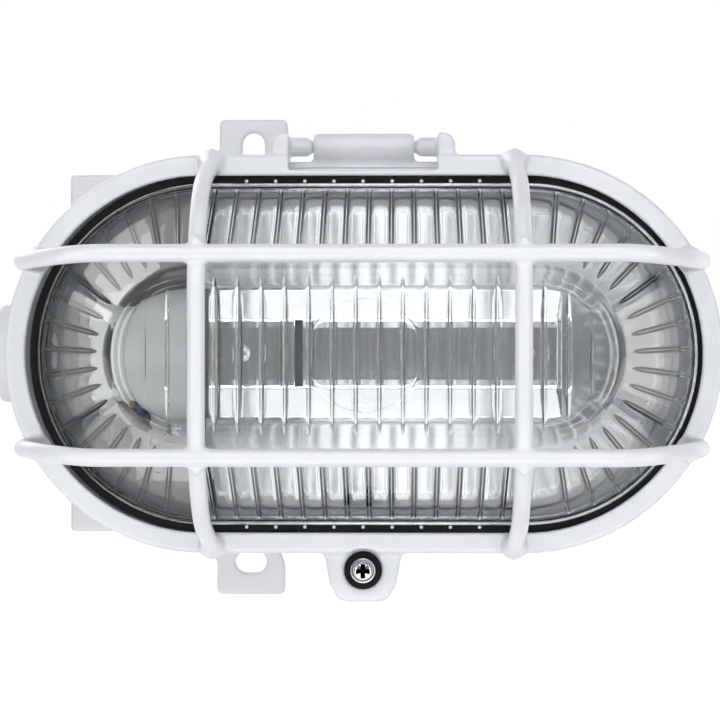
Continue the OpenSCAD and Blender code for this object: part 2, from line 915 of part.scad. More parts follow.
module lampholder_bracket() {
  color([0.7, 0.71, 0.73]) stand() difference() {
    union() {
      translate([holder_x - plate_t, 0, 0]) rotate([90, 0, 90]) linear_extrude(plate_t)
        translate([0, (bracket_h + pad_z) / 2]) rounded(bracket_w, bracket_h - pad_z, plate_t);
      translate([holder_x - bracket_len, -bracket_w / 2, pad_z]) cube([bracket_len, bracket_w, plate_t]);
    }
    for (s = [-1, 1]) {
      translate([0, s * screw_spread, holder_screw_z]) x_bar(hole_r, holder_x - 2 * plate_t, holder_x + 1);
      translate([bracket_screw_x, s * screw_spread, 0]) cylinder(r = hole_r, h = base_depth / 2);
    }
  }
}

module holder_screws() {
  color([0.75, 0.75, 0.77]) stand() for (s = [-1, 1]) {
    translate([holder_x - plate_t, s * screw_spread, holder_screw_z]) rotate([0, -90, 0]) small_screw();
  }
}

module bracket_screws() {
  color([0.75, 0.75, 0.77]) stand() for (s = [-1, 1]) {
    translate([bracket_screw_x, s * screw_spread, pad_z + plate_t]) small_screw();
  }
}

module terminal_block() {
  color([0.9, 0.89, 0.86]) stand() difference() {
    translate([block_x, block_y - block_w / 2, pad_z]) cube([block_l, block_w, block_h]);
    for (y = clamp_y) {
      translate([0, y, clamp_z]) x_bar(clamp_r + fit, block_x - 1, block_x + block_l + 1);
      translate([grub_x, y, clamp_z]) cylinder(r = hole_r, h = block_h);
    }
    translate([block_mid, block_y, 0]) cylinder(r = hole_r, h = base_depth);
  }
}

module terminal_clamps() {
  color([0.8, 0.65, 0.32]) stand() for (y = clamp_y) {
    translate([block_mid, y, clamp_z]) difference() {
      x_bar(clamp_r, -clamp_len / 2, clamp_len / 2);
      x_bar(clamp_bore_r, -clamp_len, clamp_len);
      translate([grub_x - block_mid, 0, 0]) cylinder(r = pilot_r, h = 2 * clamp_r);
    }
  }
}

module terminal_screws() {
  color([0.75, 0.75, 0.77]) stand() for (y = clamp_y) {
    translate([grub_x, y, clamp_z + lead_r]) difference() {
      cylinder(r = small_r, h = grub_len);
      translate([-small_d, -grub_slot / 2, grub_len - small_r / 2]) cube([2 * small_d, grub_slot, small_r]);
    }
  }
}

module terminal_fixing_screw() {
  color([0.75, 0.75, 0.77]) stand() translate([block_mid, block_y, block_z])
    cross_screw(small_head_r, small_head_t, small_r, block_h + small_len - plate_t, small_arm);
}

// Lead from a clamp: along the floor, up beside the lampholder and into its back
module lead(k) {
  rise = lead_top[k] - clamp_z - 2 * lead_bend;
  translate([0, clamp_y[k], 0]) {
    translate([0, 0, clamp_z]) x_bar(lead_r, lead_x + lead_bend, block_mid);
    translate([lead_x + lead_bend, 0, clamp_z + lead_bend]) rotate([90, 0, 0]) rotate([0, 0, 180])
      rotate_extrude(angle = 90) translate([lead_bend, 0]) circle(lead_r);
    translate([lead_x, 0, clamp_z + lead_bend]) cylinder(r = lead_r, h = rise);
    translate([lead_x, lead_bend, lead_top[k] - lead_bend]) rotate([90, 0, 90]) rotate([0, 0, 90])
      rotate_extrude(angle = 90) translate([lead_bend, 0]) circle(lead_r);
    translate([lead_x, lead_bend, lead_top[k]]) rotate([-90, 0, 0])
      cylinder(r = lead_r, h = lead_end[k] - clamp_y[k] - lead_bend);
  }
}

module live_lead() {
  color([0.45, 0.26, 0.14]) stand() lead(0);
}

module neutral_lead() {
  color([0.16, 0.3, 0.6]) stand() lead(1);
}

base_housing();
guard();
glass_lens();
lens_gasket();
closing_screw();
screw_washer();
threaded_insert();
cable_grommet();
reflector();
reflector_screws();
lampholder_body();
lampholder_shell();
lampholder_contact();
lampholder_bracket();
holder_screws();
bracket_screws();
terminal_block();
terminal_clamps();
terminal_screws();
terminal_fixing_screw();
live_lead();
neutral_lead();
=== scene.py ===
import math

import bmesh
import bpy
from mathutils import Euler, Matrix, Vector, geometry


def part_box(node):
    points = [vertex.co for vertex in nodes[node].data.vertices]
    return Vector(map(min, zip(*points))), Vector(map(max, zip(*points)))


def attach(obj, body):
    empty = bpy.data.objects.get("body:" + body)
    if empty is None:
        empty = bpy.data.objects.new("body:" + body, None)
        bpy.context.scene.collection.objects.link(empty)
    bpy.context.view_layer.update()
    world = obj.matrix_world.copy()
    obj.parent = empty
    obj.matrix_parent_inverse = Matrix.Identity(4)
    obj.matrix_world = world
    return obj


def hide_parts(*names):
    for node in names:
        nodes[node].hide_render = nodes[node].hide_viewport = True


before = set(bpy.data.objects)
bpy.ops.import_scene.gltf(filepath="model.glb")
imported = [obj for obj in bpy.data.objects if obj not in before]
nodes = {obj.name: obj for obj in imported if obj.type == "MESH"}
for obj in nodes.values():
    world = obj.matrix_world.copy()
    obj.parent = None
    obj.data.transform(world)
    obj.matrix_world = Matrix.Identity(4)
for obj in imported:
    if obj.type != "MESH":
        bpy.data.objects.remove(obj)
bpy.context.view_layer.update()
scene = bpy.context.scene
scene.view_settings.view_transform = "Standard"
mm = 0.001
print("frame loaded:", len(nodes), "nodes")


def standUp(x, y, z):
    # face frame in mm (x right, y up, z off the wall) to the part's frame in metres
    return Vector((x * mm, -z * mm, y * mm))


def addObject(name, data):
    made = bpy.data.objects.new(name, data)
    scene.collection.objects.link(made)
    return made


# Camera

cameraView = {
    "place": (10.4, 4.0, 658.0),  # face frame, mm
    "aimPixel": (400.0, 340.0),  # where the wall's normal lands in the picture
    "imageSide": 720.0,
    "focalPixels": 2182.0,
    "sensor": 36.0,
    "clip": (0.05, 60.0),  # metres
}


def makeCamera(view):
    data = bpy.data.cameras.new("camera")
    data.sensor_width = view["sensor"]
    data.lens = data.sensor_width * view["focalPixels"] / view["imageSide"]
    data.clip_start, data.clip_end = view["clip"]
    camera = addObject("camera", data)
    middle = view["imageSide"] / 2
    turn = math.atan((view["aimPixel"][0] - middle) / view["focalPixels"])
    dip = math.atan((middle - view["aimPixel"][1]) / view["focalPixels"])
    camera.location = standUp(*view["place"])
    camera.rotation_euler = Euler((math.pi / 2 - dip, 0.0, turn), "XYZ")
    scene.camera = camera


makeCamera(cameraView)
print("camera placed")


# Shared shader groups

grainShare = 0.25  # part of a moulded skin's height that the fine grain gives
streakShare = 0.3  # part of rolled metal's height that the streaks give
colourA, colourB, colourOut = 6, 7, 2  # sockets of a Mix node for colours
valueA, valueB = 2, 3  # sockets of a Mix node for values


def newGroup(name, inputs, outputs):
    group = bpy.data.node_groups.new(name, "ShaderNodeTree")
    for label, kind, start in inputs:
        socket = group.interface.new_socket(label, in_out="INPUT", socket_type=kind)
        socket.default_value = start
    for label, kind in outputs:
        group.interface.new_socket(label, in_out="OUTPUT", socket_type=kind)
    entry = group.nodes.new("NodeGroupInput")
    leave = group.nodes.new("NodeGroupOutput")
    return group, entry, leave


def addNode(tree, kind, settings=None, values=None):
    node = tree.nodes.new(kind)
    for key, value in (settings or {}).items():
        setattr(node, key, value)
    for key, value in (values or {}).items():
        node.inputs[key].default_value = value
    return node


def mathNode(tree, operation, first, second):
    node = addNode(tree, "ShaderNodeMath", {"operation": operation})
    for index, value in enumerate((first, second)):
        if hasattr(value, "is_linked"):
            tree.links.new(value, node.inputs[index])
        else:
            node.inputs[index].default_value = value
    return node.outputs[0]


def allOf(tree, *masks):
    # 1 where every mask is 1
    joined = masks[0]
    for mask in masks[1:]:
        joined = mathNode(tree, "MULTIPLY", joined, mask)
    return joined


def squareSum(tree, first, second):
    squares = [mathNode(tree, "MULTIPLY", value, value) for value in (first, second)]
    return mathNode(tree, "ADD", *squares)


def makeMouldGroup():
    # moulded skin: a fine grain on slow waves, and a slow drift of tone
    group, entry, leave = newGroup(
        "mouldedSkin",
        [("Grain Scale", "NodeSocketFloat", 2500.0), ("Wave Scale", "NodeSocketFloat", 60.0),
         ("Wave Share", "NodeSocketFloat", 0.6)],
        [("Height", "NodeSocketFloat"), ("Tone", "NodeSocketFloat"), ("Speck", "NodeSocketFloat")])
    where = addNode(group, "ShaderNodeTexCoord")
    grain = addNode(group, "ShaderNodeTexNoise", values={"Detail": 3.0, "Roughness": 0.6})
    wave = addNode(group, "ShaderNodeTexNoise", values={"Detail": 2.0, "Roughness": 0.45})
    for texture, label in ((grain, "Grain Scale"), (wave, "Wave Scale")):
        group.links.new(where.outputs["Object"], texture.inputs["Vector"])
        group.links.new(entry.outputs[label], texture.inputs["Scale"])
    waves = mathNode(group, "MULTIPLY", wave.outputs["Fac"], entry.outputs["Wave Share"])
    grains = mathNode(group, "MULTIPLY", grain.outputs["Fac"], grainShare)
    group.links.new(mathNode(group, "ADD", waves, grains), leave.inputs["Height"])
    group.links.new(wave.outputs["Fac"], leave.inputs["Tone"])
    group.links.new(grain.outputs["Fac"], leave.inputs["Speck"])
    return group


def makeBrushGroup():
    # rolled or turned metal: fine streaks along one axis and cloudy dull spots
    group, entry, leave = newGroup(
        "rolledMetal",
        [("Stretch", "NodeSocketVector", (40.0, 900.0, 900.0)), ("Cloud Scale", "NodeSocketFloat", 70.0)],
        [("Streak", "NodeSocketFloat"), ("Cloud", "NodeSocketFloat"), ("Height", "NodeSocketFloat")])
    where = addNode(group, "ShaderNodeTexCoord")
    stretch = addNode(group, "ShaderNodeVectorMath", {"operation": "MULTIPLY"})
    group.links.new(where.outputs["Object"], stretch.inputs[0])
    group.links.new(entry.outputs["Stretch"], stretch.inputs[1])
    streak = addNode(group, "ShaderNodeTexNoise", values={"Scale": 1.0, "Detail": 4.0, "Roughness": 0.65})
    group.links.new(stretch.outputs[0], streak.inputs["Vector"])
    cloud = addNode(group, "ShaderNodeTexNoise", values={"Detail": 3.0, "Roughness": 0.55})
    group.links.new(where.outputs["Object"], cloud.inputs["Vector"])
    group.links.new(entry.outputs["Cloud Scale"], cloud.inputs["Scale"])
    group.links.new(streak.outputs["Fac"], leave.inputs["Streak"])
    group.links.new(cloud.outputs["Fac"], leave.inputs["Cloud"])
    lift = mathNode(group, "MULTIPLY", streak.outputs["Fac"], streakShare)
    group.links.new(mathNode(group, "ADD", lift, cloud.outputs["Fac"]), leave.inputs["Height"])
    return group


mouldedSkin = makeMouldGroup()
rolledMetal = makeBrushGroup()


# Materials

coatRough = 0.25
glowDepth = 1.2  # mm that light spreads inside a plastic


def startMaterial(name):
    material = bpy.data.materials.new(name)
    material.use_nodes = True
    tree = material.node_tree
    tree.nodes.clear()
    shader = tree.nodes.new("ShaderNodeBsdfPrincipled")
    output = tree.nodes.new("ShaderNodeOutputMaterial")
    tree.links.new(shader.outputs[0], output.inputs["Surface"])
    return material, tree, shader


def useGroup(tree, group, values):
    node = tree.nodes.new("ShaderNodeGroup")
    node.node_tree = group
    for key, value in values.items():
        node.inputs[key].default_value = value
    return node


def ramp(tree, factor, low, high, start=0.3, end=0.7):
    # two colours over the span of a noise value
    node = addNode(tree, "ShaderNodeValToRGB")
    first, last = node.color_ramp.elements
    first.position, last.position = start, end
    first.color, last.color = (*low, 1.0), (*high, 1.0)
    tree.links.new(factor, node.inputs[0])
    return node.outputs["Color"]


def spread(tree, factor, low, high, start=0.3, end=0.7):
    # a value over the span of a noise value
    node = addNode(tree, "ShaderNodeMapRange", values={1: start, 2: end, 3: low, 4: high})
    tree.links.new(factor, node.inputs[0])
    return node.outputs[0]


def bumpFrom(tree, shader, height, strength, distance):
    node = addNode(tree, "ShaderNodeBump", values={"Strength": strength, "Distance": distance})
    tree.links.new(height, node.inputs["Height"])
    tree.links.new(node.outputs[0], shader.inputs["Normal"])


def axisValues(tree):
    # the part's own x, y and z at a point, in metres
    where = addNode(tree, "ShaderNodeTexCoord")
    split = addNode(tree, "ShaderNodeSeparateXYZ")
    tree.links.new(where.outputs["Object"], split.inputs[0])
    return [split.outputs[axis] for axis in ("X", "Y", "Z")]


def paintShade(tree, shader, mask, tone):
    # painted shade: another, darker tone where the mask is 1
    mix = addNode(tree, "ShaderNodeMix", {"data_type": "RGBA"})
    mix.inputs[colourB].default_value = (*tone, 1.0)
    tree.links.new(shader.inputs["Base Color"].links[0].from_socket, mix.inputs[colourA])
    tree.links.new(mask, mix.inputs[0])
    tree.links.new(mix.outputs[colourOut], shader.inputs["Base Color"])


def mouldedMaterial(name, look):
    material, tree, shader = startMaterial(name)
    skin = useGroup(tree, mouldedSkin, {"Grain Scale": look["grain"], "Wave Scale": look["wave"]})
    tone = ramp(tree, skin.outputs["Tone"], look["dark"], look["light"])
    tree.links.new(tone, shader.inputs["Base Color"])
    tree.links.new(spread(tree, skin.outputs["Speck"], *look["rough"]), shader.inputs["Roughness"])
    bumpFrom(tree, shader, skin.outputs["Height"], look["bump"], look["depth"] * mm)
    shader.inputs["Specular IOR Level"].default_value = look["specular"]
    shader.inputs["Coat Weight"].default_value = look["coat"]
    shader.inputs["Coat Roughness"].default_value = coatRough
    shader.inputs["Subsurface Weight"].default_value = look["glow"]
    shader.inputs["Subsurface Scale"].default_value = glowDepth * mm
    return material


def metalMaterial(name, look):
    material, tree, shader = startMaterial(name)
    metal = useGroup(tree, rolledMetal, {"Stretch": look["stretch"], "Cloud Scale": look["cloud"]})
    tone = ramp(tree, metal.outputs["Cloud"], look["dark"], look["light"])
    tree.links.new(tone, shader.inputs["Base Color"])
    tree.links.new(spread(tree, metal.outputs["Streak"], *look["rough"]), shader.inputs["Roughness"])
    bumpFrom(tree, shader, metal.outputs["Height"], look["bump"], look["depth"] * mm)
    shader.inputs["Metallic"].default_value = 1.0
    return material


glassLook = {"tint": (0.97, 0.985, 0.985), "ior": 1.5, "grain": 260.0, "wave": 55.0,
             "ripple": 0.10, "rippleDepth": 0.25}


def glassMaterial(name, look):
    material, tree, shader = startMaterial(name)
    output = tree.nodes["Material Output"]
    shader.inputs["Base Color"].default_value = (*look["tint"], 1.0)
    shader.inputs["Roughness"].default_value = 0.0
    shader.inputs["IOR"].default_value = look["ior"]
    shader.inputs["Transmission Weight"].default_value = 1.0
    skin = useGroup(tree, mouldedSkin, {"Grain Scale": look["grain"], "Wave Scale": look["wave"]})
    bumpFrom(tree, shader, skin.outputs["Height"], look["ripple"], look["rippleDepth"] * mm)
    # light reaches the inside straight through the pane
    path = addNode(tree, "ShaderNodeLightPath")
    clear = addNode(tree, "ShaderNodeBsdfTransparent")
    clear.inputs["Color"].default_value = (*look["tint"], 1.0)
    mix = addNode(tree, "ShaderNodeMixShader")
    straight = mathNode(tree, "MAXIMUM", path.outputs["Is Shadow Ray"], path.outputs["Is Diffuse Ray"])
    tree.links.new(straight, mix.inputs["Fac"])
    tree.links.new(shader.outputs[0], mix.inputs[1])
    tree.links.new(clear.outputs[0], mix.inputs[2])
    tree.links.new(mix.outputs[0], output.inputs["Surface"])
    return material


plainMould = {"specular": 0.45, "coat": 0.0, "glow": 0.0}
leadSleeve = {"rough": (0.35, 0.48), "grain": 2400.0, "wave": 120.0, "bump": 0.12, "depth": 0.15}
mouldedLooks = {
    "guardPlastic": {"dark": (0.78, 0.795, 0.84), "light": (0.81, 0.825, 0.865), "rough": (0.27, 0.37),
                     "grain": 2600.0, "wave": 55.0, "bump": 0.10, "depth": 0.25, "specular": 0.8,
                     "coat": 0.2, "glow": 0.05},
    "basePlastic": {"dark": (0.82, 0.83, 0.865), "light": (0.85, 0.86, 0.895), "rough": (0.40, 0.54),
                    "grain": 2200.0, "wave": 45.0, "bump": 0.12, "depth": 0.25, "glow": 0.04},
    "sealRubber": {"dark": (0.004, 0.004, 0.005), "light": (0.009, 0.009, 0.010), "rough": (0.42, 0.62),
                   "grain": 1800.0, "wave": 110.0, "bump": 0.25, "depth": 0.2, "specular": 0.12},
    "glazedPorcelain": {"dark": (0.50, 0.50, 0.50), "light": (0.55, 0.55, 0.55), "rough": (0.32, 0.42),
                        "grain": 900.0, "wave": 80.0, "bump": 0.08, "depth": 0.3, "specular": 0.4,
                        "glow": 0.04},
    "terminalPlastic": {"dark": (0.46, 0.46, 0.45), "light": (0.52, 0.52, 0.50), "rough": (0.32, 0.45),
                        "grain": 2200.0, "wave": 90.0, "bump": 0.12, "depth": 0.2, "glow": 0.06},
    "brownSleeve": {"dark": (0.11, 0.045, 0.018), "light": (0.15, 0.065, 0.028), **leadSleeve},
    "blueSleeve": {"dark": (0.014, 0.055, 0.22), "light": (0.022, 0.075, 0.28), **leadSleeve},
}

metalLooks = {
    "rolledAluminium": {"dark": (0.70, 0.71, 0.735), "light": (0.78, 0.79, 0.815), "rough": (0.06, 0.13),
                        "stretch": (700.0, 700.0, 30.0), "cloud": 40.0, "bump": 0.02, "depth": 0.25},
    "brightPlate": {"dark": (0.52, 0.52, 0.54), "light": (0.60, 0.60, 0.62), "rough": (0.07, 0.12),
                    "stretch": (500.0, 500.0, 500.0), "cloud": 300.0, "bump": 0.008, "depth": 0.1},
    "zincPlate": {"dark": (0.50, 0.51, 0.53), "light": (0.63, 0.64, 0.66), "rough": (0.24, 0.42),
                  "stretch": (200.0, 700.0, 120.0), "cloud": 140.0, "bump": 0.12, "depth": 0.2},
    "paleBrass": {"dark": (0.60, 0.55, 0.44), "light": (0.70, 0.65, 0.54), "rough": (0.22, 0.36),
                  "stretch": (160.0, 600.0, 600.0), "cloud": 160.0, "bump": 0.10, "depth": 0.15},
    "yellowBrass": {"dark": (0.60, 0.42, 0.16), "light": (0.75, 0.56, 0.25), "rough": (0.18, 0.34),
                    "stretch": (160.0, 600.0, 600.0), "cloud": 160.0, "bump": 0.10, "depth": 0.15},
}

materials = {name: mouldedMaterial(name, {**plainMould, **look}) for name, look in mouldedLooks.items()}
materials.update({name: metalMaterial(name, look) for name, look in metalLooks.items()})
materials["pressedGlass"] = glassMaterial("pressedGlass", glassLook)

nodeFinish = {
    "base_housing": "basePlastic", "guard": "guardPlastic", "glass_lens": "pressedGlass",
    "lens_gasket": "sealRubber", "screw_washer": "sealRubber", "cable_grommet": "sealRubber",
    "closing_screw": "brightPlate", "threaded_insert": "yellowBrass", "reflector": "rolledAluminium",
    "reflector_screws": "zincPlate", "lampholder_body": "glazedPorcelain", "lampholder_shell": "paleBrass",
    "lampholder_contact": "yellowBrass", "lampholder_bracket": "zincPlate", "holder_screws": "zincPlate",
    "bracket_screws": "zincPlate", "terminal_block": "terminalPlastic", "terminal_clamps": "yellowBrass",
    "terminal_screws": "zincPlate", "terminal_fixing_screw": "zincPlate", "live_lead": "brownSleeve",
    "neutral_lead": "blueSleeve",
}


def finish(piece, name):
    piece.data.materials.clear()
    piece.data.materials.append(materials[name])


for node, name in nodeFinish.items():
    finish(nodes[node], name)
print("materials made:", len(materials))


# Mesh helpers

weldGap = 0.002  # mm
onAxis = 1e-6  # a smaller radius is a point on the axis
outlineGap = 1e-5


def addPoint(mesher, x, y, z):
    return mesher.verts.new(standUp(x, y, z))


def joinLoops(mesher, loops):
    # faces from each loop of points to the next, which may be a single point
    for near, far in zip(loops, loops[1:]):
        for i in range(len(near)):
            j = (i + 1) % len(near)
            if len(far) == 1:
                mesher.faces.new((near[i], near[j], far[0]))
            else:
                mesher.faces.new((near[i], near[j], far[j], far[i]))


def weld(mesher):
    bmesh.ops.remove_doubles(mesher, verts=mesher.verts, dist=weldGap * mm)


def faceOut(mesher):
    bmesh.ops.recalc_face_normals(mesher, faces=mesher.faces)


def closeTube(mesher, rings):
    joinLoops(mesher, rings)
    mesher.faces.new(rings[0])
    mesher.faces.new(rings[-1])
    faceOut(mesher)


def ringEdges(first, count):
    return [(first + i, first + (i + 1) % count) for i in range(count)]


def triangulated(spots, edges):
    # points and faces of a flat sheet that keeps these edges
    made = geometry.delaunay_2d_cdt([Vector(spot) for spot in spots], edges, [], 1, outlineGap)
    return made[0], made[2]


def settledMesh(piece):
    # the mesh with its modifiers applied, in place of the piece
    graph = bpy.context.evaluated_depsgraph_get()
    mesh = bpy.data.meshes.new_from_object(piece.evaluated_get(graph))
    bpy.data.objects.remove(piece)
    return mesh


def arc(centre, radius, start, end, steps):
    angles = [math.radians(start + (end - start) * step / steps) for step in range(steps + 1)]
    return [(centre[0] + radius * math.cos(a), centre[1] + radius * math.sin(a)) for a in angles]


def steppedRange(low, high, step):
    count = max(1, round((high - low) / step))
    return [low + (high - low) * i / count for i in range(count + 1)]


def pieceFrom(mesher, name, look, sharp=None):
    mesh = bpy.data.meshes.new(name)
    mesher.to_mesh(mesh)
    mesher.free()
    for face in mesh.polygons:
        face.use_smooth = True
    if sharp:
        mesh.set_sharp_from_angle(angle=math.radians(sharp))
    piece = addObject(name, mesh)
    finish(piece, look)
    return piece


def addLathe(mesher, profile, place, turns, closed=False):
    # a profile of radius and height turned round an axis that stands off the wall
    x, y, z = place
    angles = [math.tau * turn / turns for turn in range(turns)]
    rings = []
    for r, h in profile:
        ring = [(x + r * math.cos(a), y + r * math.sin(a)) for a in angles] if r > onAxis else [(x, y)]
        rings.append([addPoint(mesher, *spot, z + h) for spot in ring])
    joinLoops(mesher, rings)
    if closed:
        mesher.faces.new(rings[0])
        faceOut(mesher)


# Moulded pieces: the solids with every edge softened as a mould leaves it

mouldings = {
    "guard": {"voxel": 0.62, "pull": 0.5, "passes": 5, "share": 0.62},
    "base_housing": {"voxel": 0.72, "pull": 0.5, "passes": 3, "share": 0.4},
}


def softenedMoulding(node, shape):
    mesh = nodes[node].data.copy()
    mesher = bmesh.new()
    mesher.from_mesh(mesh)
    weld(mesher)
    mesher.to_mesh(mesh)
    mesher.free()
    rough = addObject(node + "Rough", mesh)
    remesh = rough.modifiers.new("even", "REMESH")
    remesh.mode = "VOXEL"
    remesh.voxel_size = shape["voxel"] * mm
    soften = rough.modifiers.new("soften", "SMOOTH")
    soften.factor = shape["pull"]
    soften.iterations = shape["passes"]
    thin = rough.modifiers.new("thin", "DECIMATE")
    thin.ratio = shape["share"]
    final = settledMesh(rough)
    piece = addObject(node + "Moulding", final)
    for face in final.polygons:
        face.use_smooth = True
    finish(piece, nodeFinish[node])
    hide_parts(node)
    print("moulding", node, len(final.polygons), "faces")
    return piece


barEnds = {
    "bar": 26.45,  # height of the long bars over the middle
    "reach": 4.0,
    "start": 68.0,  # where along x the lean starts and is full
    "full": 92.0,
    "foot": 46.6,  # where along z it starts, and over what length
    "rise": 10.0,
    "lean": 1.4,
}


def eased(share):
    share = min(max(share, 0.0), 1.0)
    return share * share * (3 - 2 * share)


def leanBars(mesh, look):
    # the long bars come a little closer together towards their ends
    for vertex in mesh.vertices:
        x, y, z = vertex.co.x / mm, vertex.co.z / mm, -vertex.co.y / mm
        if abs(abs(y) - look["bar"]) < look["reach"]:
            out = eased((abs(x) - look["start"]) / (look["full"] - look["start"]))
            rise = eased((z - look["foot"]) / look["rise"])
            vertex.co.z -= math.copysign(look["lean"] * out * rise * mm, y)


# painted shade: where and how dark the grey inside the base is painted
insideShadeSpace = {"spine": 45.0, "radius": 49.4, "bottom": 1.4, "top": 36.4, "tone": (0.20, 0.20, 0.21)}


def paintInsideShade(material, look):
    # painted shade: the lamp space inside the base is coloured a darker grey, for the shade that falls
    # inside it
    tree = material.node_tree
    shader = tree.nodes["Principled BSDF"]
    x, y, z = axisValues(tree)
    past = mathNode(tree, "SUBTRACT", mathNode(tree, "ABSOLUTE", x, 0.0), look["spine"] * mm)
    past = mathNode(tree, "MAXIMUM", past, 0.0)
    within = mathNode(tree, "LESS_THAN", squareSum(tree, past, z), (look["radius"] * mm) ** 2)
    over = mathNode(tree, "LESS_THAN", y, -look["bottom"] * mm)
    under = mathNode(tree, "GREATER_THAN", y, -look["top"] * mm)
    paintShade(tree, shader, allOf(tree, within, over, under), look["tone"])


paintInsideShade(materials["basePlastic"], insideShadeSpace)
guard = softenedMoulding("guard", mouldings["guard"])
leanBars(guard.data, barEnds)
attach(guard, "cover")
base = softenedMoulding("base_housing", mouldings["base_housing"])
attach(base, "base")


# Lens: a pressed glass dome on an oval, ribbed inside

lensLow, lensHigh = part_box("glass_lens")
lens = {
    "middle": (lensLow.x + lensHigh.x) / 2 / mm,
    "flangeR": (lensHigh.z - lensLow.z) / 2 / mm,
    "spine": ((lensHigh.x - lensLow.x) - (lensHigh.z - lensLow.z)) / 2 / mm,
    "back": -lensHigh.y / mm,
    "front": -lensLow.y / mm - 0.12,  # under the round mark
    "flangeIn": 5.3,  # flange edge to the foot of the dome
    "spigotH": 2.0,
    "spigotOut": 0.9,
    "spigotBevel": 0.2,
    "flangeT": 3.5,
    "shoulder": 6.0,
    "slope": 60.0,
    "glass": 2.0,
    "footGlass": 1.3,
    "innerRound": 6.5,
    "footFillet": 0.6,
    "edgeRound": 0.5,
    "ribShift": 0.85,  # the ribs stand this far right of the middle
    "ribPitch": 6.2,
    "ribTurn": 9.7,  # degrees from rib to rib round an end
    "endTurn": 85.0,  # degrees that the ribs reach from the middle of an end
    "turnShift": 2.1,
    "sideHalf": 0.85,
    "sideHeight": 0.36,
    "widest": 0.37,  # greatest half width, as a share of ribTurn
    "ribFoot": 0.4,  # the wall is plain to this far below the flange top
    "ribRise": 1.6,
    "tipPast": -3.2,  # place of the rib tips from the shoulder
    "tipLength": 9.0,
    "tipWidth": 0.08,
    "ribGone": 0.02,
    "frontHalf": 0.8,
    "frontHeight": 0.58,
    "frontSpine": 42.0,
    "frontReach": 20.6,
    "markRadius": 15.0,
    "markHalf": 0.28,
    "markHeight": 0.035,
    "capAngle": 30.0,  # where the dome's sides meet its front patch
}
flangeTop = lens["back"] + lens["spigotH"] + lens["flangeT"]
flangeBack = lens["back"] + lens["spigotH"]
footR = lens["flangeR"] - lens["flangeIn"]
slope = math.radians(lens["slope"])
sideNormal = (math.sin(slope), math.cos(slope))
sideTurn = 90 - lens["slope"]
shoulderZ = lens["front"] - lens["shoulder"]
shoulderR = footR - (lens["shoulder"] + (shoulderZ - flangeTop) * math.cos(slope)) / math.sin(slope)
wallR = footR - lens["footGlass"]
slopeR = footR - lens["glass"] / sideNormal[0]
innerRound = lens["innerRound"]
innerZ = lens["front"] - lens["glass"] - innerRound
innerR = slopeR - (innerRound + (innerZ - flangeTop) * math.cos(slope)) / math.sin(slope)

lensMesh = {
    "ribSteps": [step / 4 for step in range(-4, 5)],  # across half a rib each way
    "sideGaps": (0.25, 0.5, 0.75),
    "frontGaps": (0.26, 0.38, 0.5, 0.62, 0.74),
    "endGaps": (0.2, 0.4, 0.6, 0.8),
    "evenWidth": 2.0,  # spreads the points evenly where there is no rib
    "shoulderSteps": 10,
    "filletSteps": 4,
    "edgeSteps": 3,
    "feet": (0.0, 0.6, 1.6, 3.0),  # mm up from the foot of the ribs
    "slopes": (0.7, 0.45, 0.3),  # shares of the slope
    "tips": (1.0, 0.8, 0.62, 0.46, 0.32, 0.2, 0.11, 0.05, 0.015, 0.0),  # shares of the tip
    "lineSteps": 4,
    "roundSteps": 8,
    "rimGap": 0.45,
    "front": (0.9, 0.8),
    "ribRow": 0.7,
    "markGap": 0.6,
    "markSteps": 3,
    "markTurns": 160,
}


def ribShape(step):
    return 0.5 + 0.5 * math.cos(math.pi * step) if abs(step) < 1 else 0.0


def tipTaper(rest, length):
    # width and height of a rib at some distance before its pointed tip
    gone = min(max(1 - rest / length, 0.0), 1.0)
    return math.sqrt(1 - gone * gone), 1 - gone * gone


def spotsBetween(middles, half):
    # points on each rib and in the gaps between them
    spots = []
    for near, far in zip(middles, middles[1:] + [None]):
        spots += [(near + step * half, ribShape(step)) for step in lensMesh["ribSteps"]]
        if far is not None:
            start, end = near + half, far - half
            spots += [(start + (end - start) * share, 0.0) for share in lensMesh["sideGaps"]]
    return spots


def straightSpots(width):
    # the last rib stops where the round end starts
    end = lens["spine"]
    count = int(end / lens["ribPitch"])
    middles = [lens["ribShift"] + rib * lens["ribPitch"] for rib in range(-count, count + 1)]
    spots = spotsBetween(middles, width * lens["sideHalf"])
    return [(min(along, end), bump * (along < end)) for along, bump in spots]


def endSpots(width, radius, shift):
    count = int(lens["endTurn"] / lens["ribTurn"])
    middles = [90 + shift + rib * lens["ribTurn"] for rib in range(-count, count + 1)]
    half = min(math.degrees(width * lens["sideHalf"] / radius), lens["widest"] * lens["ribTurn"])
    spots = spotsBetween(middles, half)
    first, last = spots[0][0], spots[-1][0]
    before = [(first * share, 0.0) for share in (0.0, *lensMesh["endGaps"])]
    after = [(last + (180 - last) * share, 0.0) for share in lensMesh["endGaps"]]
    return before + spots + after


def ovalLoop(radius, width=1.0):
    # points round the oval at one distance from its spine, with each point's share of a rib
    spine = lens["spine"]
    loop = [(-spine, radius, 0.0)]
    loop += [(along, radius, bump) for along, bump in straightSpots(width)]
    for turn, bump in endSpots(width, radius, -lens["turnShift"]):
        angle = math.radians(90 - turn)
        loop.append((spine + radius * math.cos(angle), radius * math.sin(angle), bump))
    loop.append((spine, -radius, 0.0))
    loop += [(along, -radius, bump) for along, bump in reversed(straightSpots(width))]
    for turn, bump in endSpots(width, radius, lens["turnShift"]):
        angle = math.radians(-90 - turn)
        loop.append((-spine + radius * math.cos(angle), radius * math.sin(angle), bump))
    return loop


